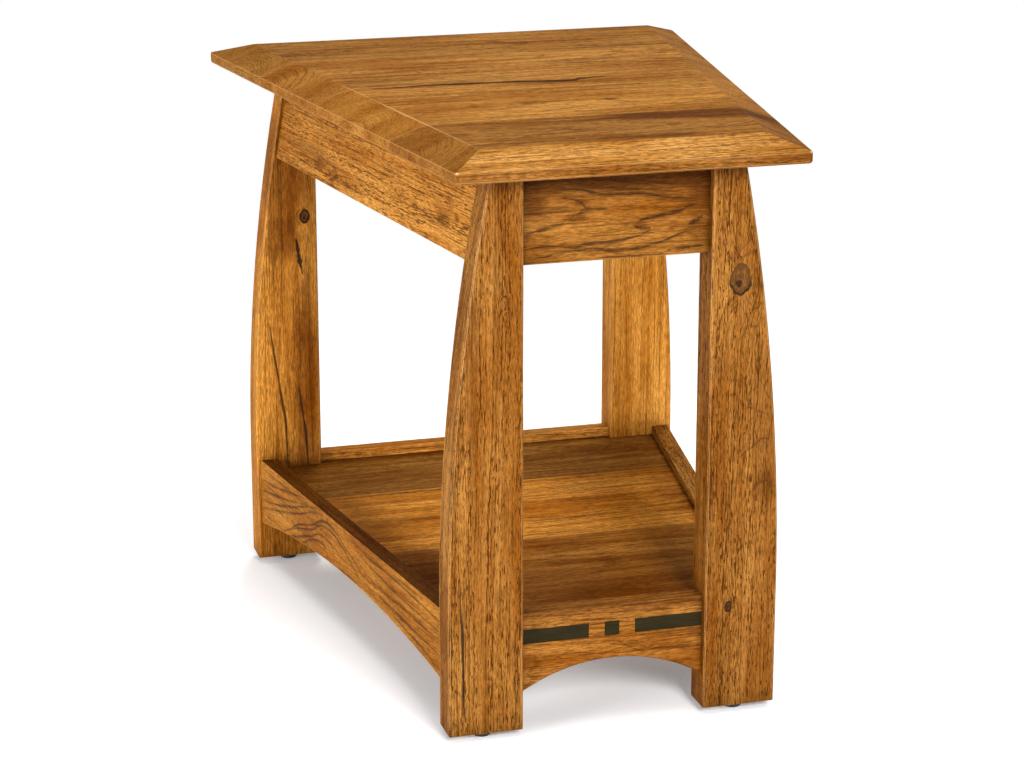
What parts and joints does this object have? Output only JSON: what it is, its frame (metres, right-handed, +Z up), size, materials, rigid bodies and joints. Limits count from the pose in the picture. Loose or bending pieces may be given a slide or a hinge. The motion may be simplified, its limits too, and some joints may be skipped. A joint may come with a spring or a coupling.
{
  "type": "wedge end table",
  "caption": "Wooden wedge end table: bevelled top narrower at the front, curved plank legs, aprons, arched lower rails with a dark inlay, a lipped shelf and screw-out levelling feet.",
  "frame": {"origin": "on the floor under the middle of the top's outline", "axes": "+X to the right seen from the narrow front end, +Y towards the wide back end, +Z up"},
  "size_m": [0.5604, 0.708, 0.61],
  "materials": {
    "top_wood": "satin clear coat on stain",
    "leg_wood": "satin clear coat on stain",
    "apron_wood": "satin clear coat on stain",
    "rail_wood": "satin clear coat on stain",
    "shelf_wood": "satin clear coat on stain",
    "inlay_wood": "dark, satin clear coat",
    "inner_wood": "plain sanded",
    "screw_steel": "yellow zinc",
    "foot_steel": "zinc",
    "foot_plastic": "matte black"
  },
  "bodies": {
    "table": {"apron_back": "apron_wood", "apron_front": "apron_wood", "apron_left": "apron_wood", "apron_right": "apron_wood", "corner_block_back_left": "inner_wood", "corner_block_back_right": "inner_wood", "corner_block_front_left": "inner_wood", "corner_block_front_right": "inner_wood", "foot_inserts": "foot_steel", "inlay_bar_left": "inlay_wood", "inlay_bar_right": "inlay_wood", "inlay_square": "inlay_wood", "leg_back_left": "leg_wood", "leg_back_right": "leg_wood", "leg_front_left": "leg_wood", "leg_front_right": "leg_wood", "rail_back": "rail_wood", "rail_front": "rail_wood", "rail_left": "rail_wood", "rail_right": "rail_wood", "shelf_board_back": "shelf_wood", "shelf_board_front": "shelf_wood", "shelf_board_middle": "shelf_wood", "shelf_cleat_left": "inner_wood", "shelf_cleat_right": "inner_wood", "top_board_back": "top_wood", "top_board_front": "top_wood", "top_board_middle_back": "top_wood", "top_board_middle_front": "top_wood", "top_screws": "screw_steel"},
    "pad_front_right": {"foot_pad_front_right": "foot_plastic"},
    "stud_front_right": {"foot_stud_front_right": "foot_steel"},
    "pad_front_left": {"foot_pad_front_left": "foot_plastic"},
    "stud_front_left": {"foot_stud_front_left": "foot_steel"},
    "pad_back_right": {"foot_pad_back_right": "foot_plastic"},
    "stud_back_right": {"foot_stud_back_right": "foot_steel"},
    "pad_back_left": {"foot_pad_back_left": "foot_plastic"},
    "stud_back_left": {"foot_stud_back_left": "foot_steel"}
  },
  "joints": [
    {"name": "pad_front_right_lift", "type": "slide", "parent": "table", "child": "pad_front_right", "axis": [0, 0, -1], "range_m": [0, 0.0095]},
    {"name": "stud_front_right_turn", "type": "hinge", "parent": "pad_front_right", "child": "stud_front_right", "pos_m": [0.13475, -0.282, 0.008], "axis": [0, 0, -1], "range_deg": [0, 2700]},
    {"name": "pad_front_left_lift", "type": "slide", "parent": "table", "child": "pad_front_left", "axis": [0, 0, -1], "range_m": [0, 0.0095]},
    {"name": "stud_front_left_turn", "type": "hinge", "parent": "pad_front_left", "child": "stud_front_left", "pos_m": [-0.13475, -0.282, 0.008], "axis": [0, 0, -1], "range_deg": [0, 2700]},
    {"name": "pad_back_right_lift", "type": "slide", "parent": "table", "child": "pad_back_right", "axis": [0, 0, -1], "range_m": [0, 0.0095]},
    {"name": "stud_back_right_turn", "type": "hinge", "parent": "pad_back_right", "child": "stud_back_right", "pos_m": [0.2172, 0.282, 0.008], "axis": [0, 0, -1], "range_deg": [0, 2700]},
    {"name": "pad_back_left_lift", "type": "slide", "parent": "table", "child": "pad_back_left", "axis": [0, 0, -1], "range_m": [0, 0.0095]},
    {"name": "stud_back_left_turn", "type": "hinge", "parent": "pad_back_left", "child": "stud_back_left", "pos_m": [-0.2172, 0.282, 0.008], "axis": [0, 0, -1], "range_deg": [0, 2700]}
  ],
  "couplings": [
    {"joint": "stud_front_right_turn", "follows": "pad_front_right_lift", "rad_per_m": 4947.4},
    {"joint": "stud_front_left_turn", "follows": "pad_front_left_lift", "rad_per_m": 4947.4},
    {"joint": "stud_back_right_turn", "follows": "pad_back_right_lift", "rad_per_m": 4947.4},
    {"joint": "stud_back_left_turn", "follows": "pad_back_left_lift", "rad_per_m": 4947.4}
  ]
}
